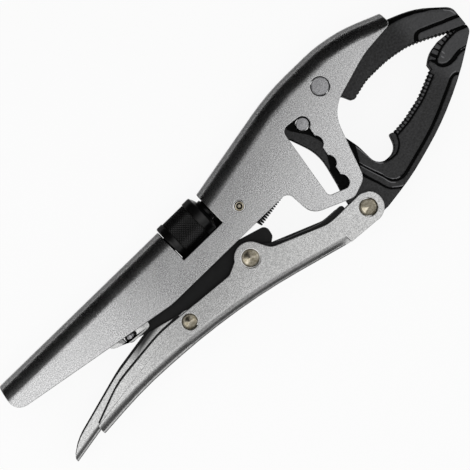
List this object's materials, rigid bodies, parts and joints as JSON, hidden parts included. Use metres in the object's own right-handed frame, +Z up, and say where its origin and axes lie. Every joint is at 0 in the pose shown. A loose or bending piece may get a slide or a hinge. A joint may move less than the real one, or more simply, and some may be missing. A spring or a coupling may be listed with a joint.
{
  "type": "curved jaw locking pliers",
  "caption": "Locking pliers with curved toothed jaws, a row of pivot notches, a knurled adjusting nut and a release lever, lying locked on their side.",
  "frame": {"origin": "on the outer face of the fixed handle's lower side plate, 39.4 mm in front of the knurled nut's middle and 12.4 mm from the screw's axis, away from the spine", "axes": "+X along the adjusting screw towards the jaws, +Y towards the fixed handle's spine, +Z up through the thickness of the tool, which lies on its side"},
  "size_m": [0.2536, 0.0723, 0.0176],
  "materials": {
    "body_shell": "satin nickel plate",
    "upper_jaw": "black phosphate on a steel forging",
    "upper_jaw_rivet": "turned flush",
    "lower_jaw": "black phosphate on a steel forging",
    "jaw_pivot_pin": "turned",
    "spring_peg": "turned",
    "lever": "satin nickel plate",
    "near_cheek": "black oxide",
    "far_cheek": "black oxide",
    "jaw_lever_pin": "yellow passivated zinc",
    "toggle_link": "black oxide",
    "toggle_pin": "yellow passivated zinc",
    "heel_pin": "turned",
    "release_lever": "satin nickel plate",
    "release_pin": "yellow passivated zinc",
    "slider_block": "satin nickel plate",
    "adjusting_screw": "black oxide",
    "screw_cross_pin": "turned",
    "knurled_nut": "black oxide, knurled",
    "opening_spring": "black spring wire",
    "spring_anchor_rivet": "yellow passivated zinc"
  },
  "bodies": {
    "body": {"body_shell": "body_shell", "upper_jaw": "upper_jaw", "upper_jaw_rivet": "upper_jaw_rivet", "spring_anchor_rivet": "spring_anchor_rivet", "opening_spring": "opening_spring"},
    "lower_jaw": {"lower_jaw": "lower_jaw", "jaw_pivot_pin": "jaw_pivot_pin", "spring_peg": "spring_peg"},
    "lever": {"lever": "lever", "near_cheek": "near_cheek", "far_cheek": "far_cheek", "jaw_lever_pin": "jaw_lever_pin", "toggle_pin": "toggle_pin", "release_pin": "release_pin"},
    "link": {"toggle_link": "toggle_link", "heel_pin": "heel_pin"},
    "release": {"release_lever": "release_lever"},
    "slider": {"slider_block": "slider_block", "adjusting_screw": "adjusting_screw", "screw_cross_pin": "screw_cross_pin"},
    "nut": {"knurled_nut": "knurled_nut"}
  },
  "joints": [
    {"name": "jaw_open", "type": "hinge", "parent": "body", "child": "lower_jaw", "pos_m": [0.026, 0.00962, 0.0088], "axis": [0, 0, -1], "range_deg": [0, 12], "deforming": ["opening_spring"]},
    {"name": "lever_swing", "type": "hinge", "parent": "lower_jaw", "child": "lever", "pos_m": [0.0215, -0.03552, 0.0088], "axis": [0, 0, 1], "range_deg": [0, 42.2]},
    {"name": "link_swing", "type": "hinge", "parent": "lever", "child": "link", "pos_m": [-0.0298, -0.01603, 0.0088], "axis": [0, 0, -1], "range_deg": [0, 57.6]},
    {"name": "release_press", "type": "hinge", "parent": "lever", "child": "release", "pos_m": [-0.06735, -0.01748, 0.0088], "axis": [0, 0, -1], "range_deg": [0, 4]},
    {"name": "screw_travel", "type": "slide", "parent": "body", "child": "slider", "axis": [1, 0, 0], "range_m": [-0.002, 0.002]},
    {"name": "nut_turn", "type": "hinge", "parent": "body", "child": "nut", "pos_m": [-0.03945, 0.01236, 0.0088], "axis": [1, 0, 0], "range_deg": [-481, 481]}
  ],
  "couplings": [
    {"joint": "lever_swing", "follows": "jaw_open", "ratio": 3.51},
    {"joint": "link_swing", "follows": "jaw_open", "ratio": 4.7903},
    {"joint": "nut_turn", "follows": "screw_travel", "rad_per_m": 4188.8}
  ]
}
